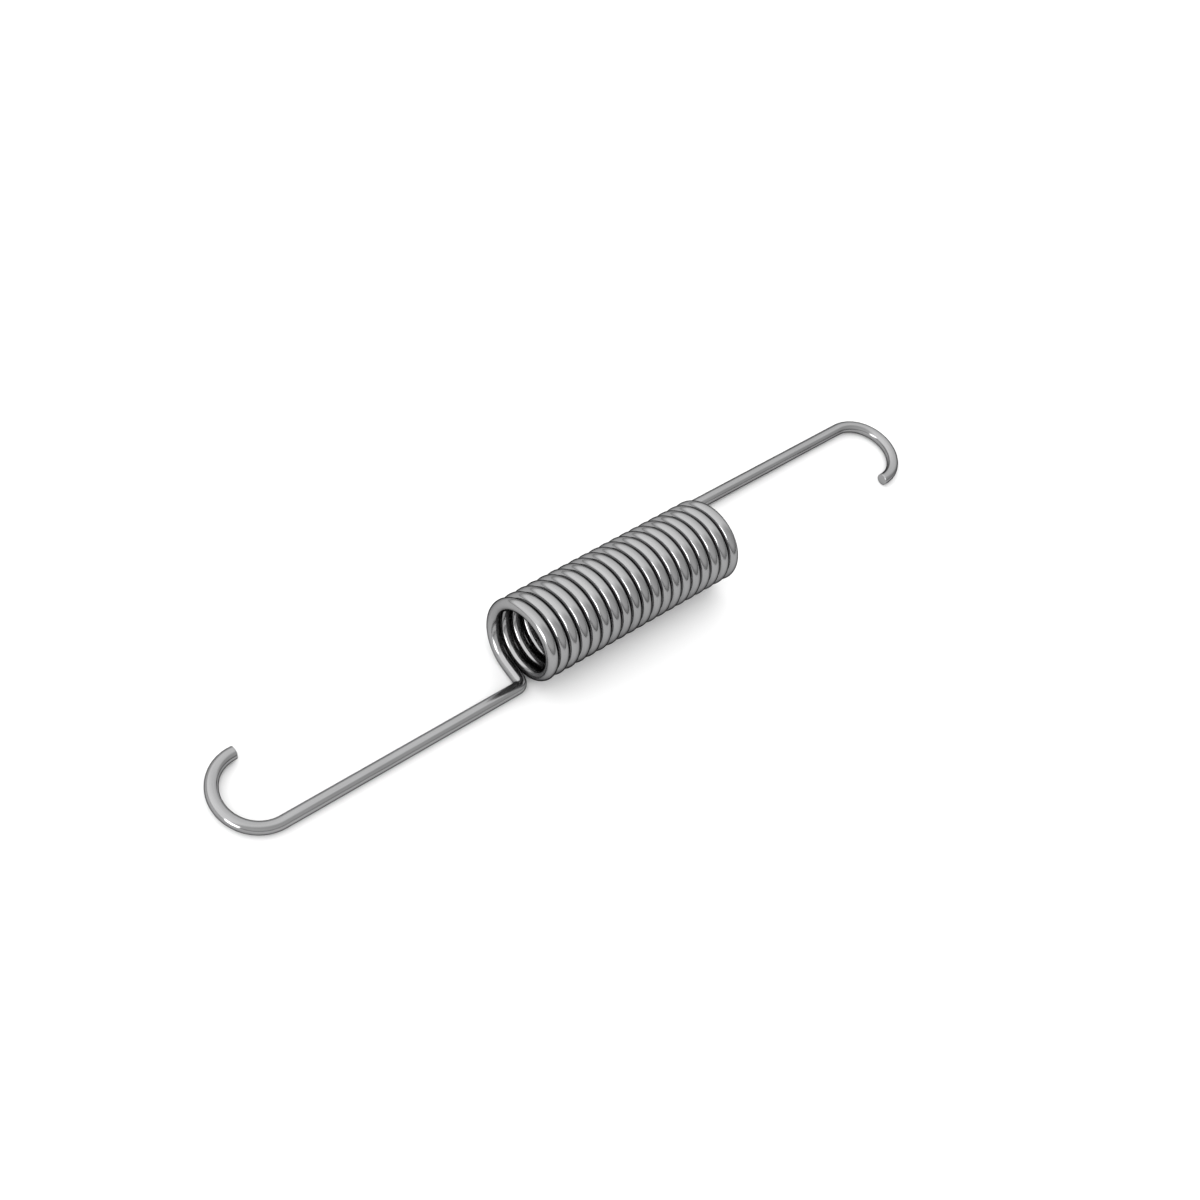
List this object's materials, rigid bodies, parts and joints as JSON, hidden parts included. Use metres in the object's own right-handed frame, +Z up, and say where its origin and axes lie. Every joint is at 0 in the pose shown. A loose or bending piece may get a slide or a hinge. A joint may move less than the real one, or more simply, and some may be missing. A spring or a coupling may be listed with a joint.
{
  "type": "extension spring",
  "caption": "Extension spring wound from round steel wire, with two long straight arms that end in half-round hooks.",
  "frame": {"origin": "middle of the bounding box, on the surface the spring lies on", "axes": "+X along the coil's axis towards the hook whose tail is longer, +Z up, away from the surface the spring lies on"},
  "size_m": [0.1419, 0.0166, 0.014],
  "materials": {
    "spring_steel": "satin"
  },
  "bodies": {
    "root": {"spring_wire": "spring_steel"}
  },
  "joints": []
}
